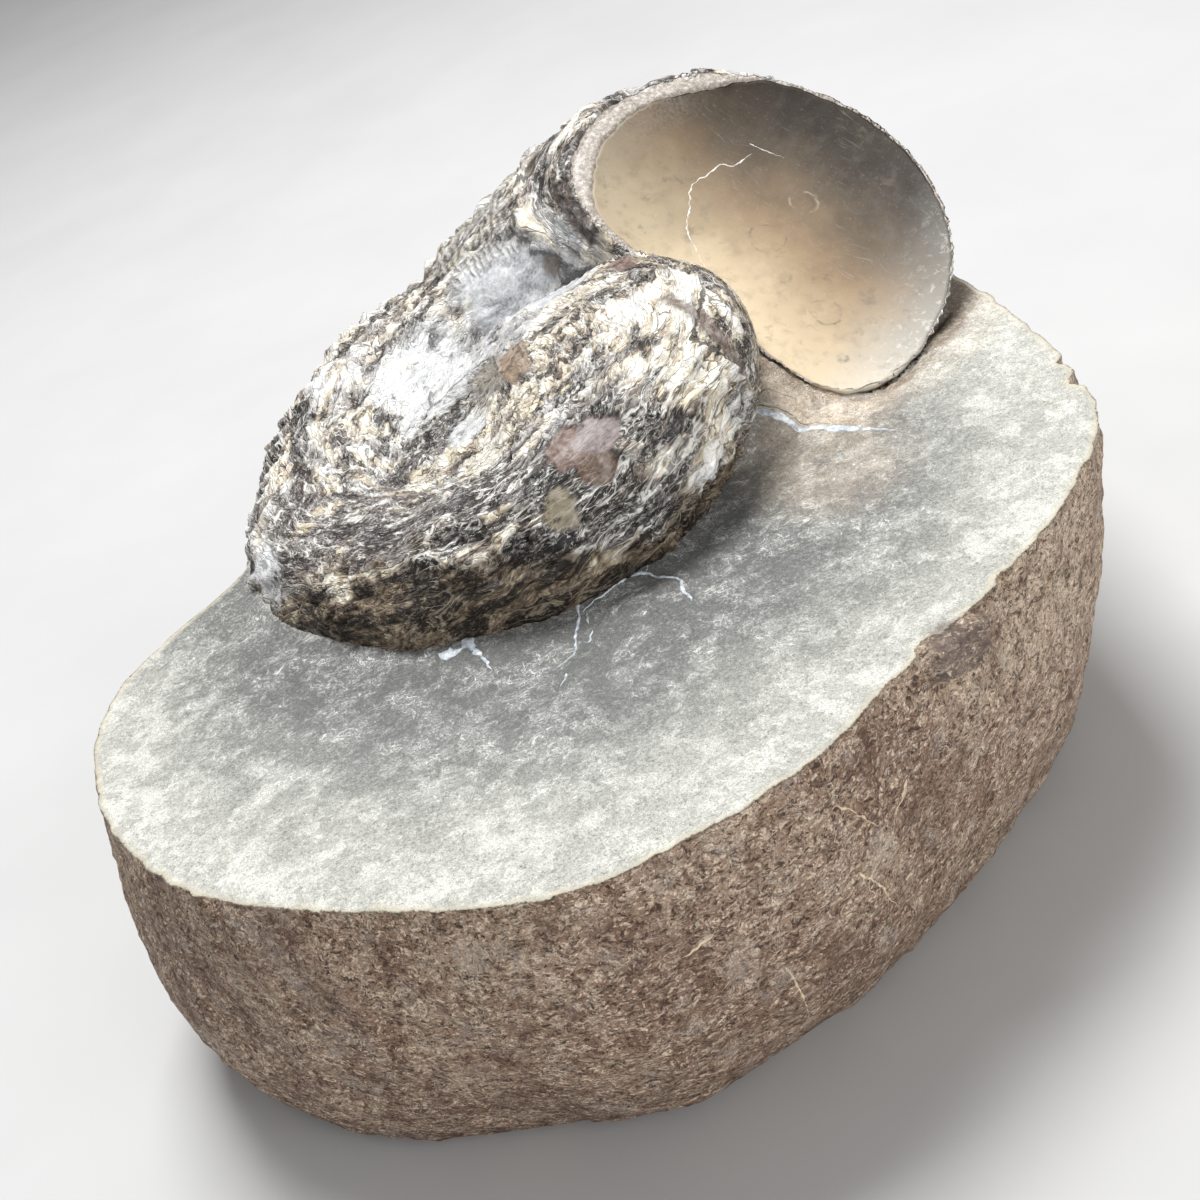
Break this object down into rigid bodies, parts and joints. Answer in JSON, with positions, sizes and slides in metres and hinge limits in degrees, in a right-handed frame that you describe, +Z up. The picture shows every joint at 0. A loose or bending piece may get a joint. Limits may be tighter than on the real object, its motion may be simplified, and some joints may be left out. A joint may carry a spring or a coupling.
{
  "type": "fossil ammonite in nodule",
  "caption": "Coiled fossil ammonite standing out of the flat ground face of its limestone nodule, with a slanting sediment-filled mouth and a flat base to rest on.",
  "frame": {"origin": "middle of the bounding box, on the surface that the flat base rests on", "axes": "+Z up, out of the ground face; +Y from the empty front of the face towards the ammonite at the back; +X towards the side that the mouth is on"},
  "size_m": [0.1423, 0.1517, 0.0821],
  "materials": {
    "limestone_matrix": "fine-grained limestone: pale grey and scratched on the ground face, with white calcite veins, and a grey-brown, granular weathered skin round the sides and under",
    "fossil_shell": "calcite shell: dark brown, pitted and flaking, with cream and pearly patches; the mouth shows smooth tan and grey sediment"
  },
  "bodies": {
    "root": {"matrix_nodule": "limestone_matrix", "ammonite": "fossil_shell"}
  },
  "joints": []
}
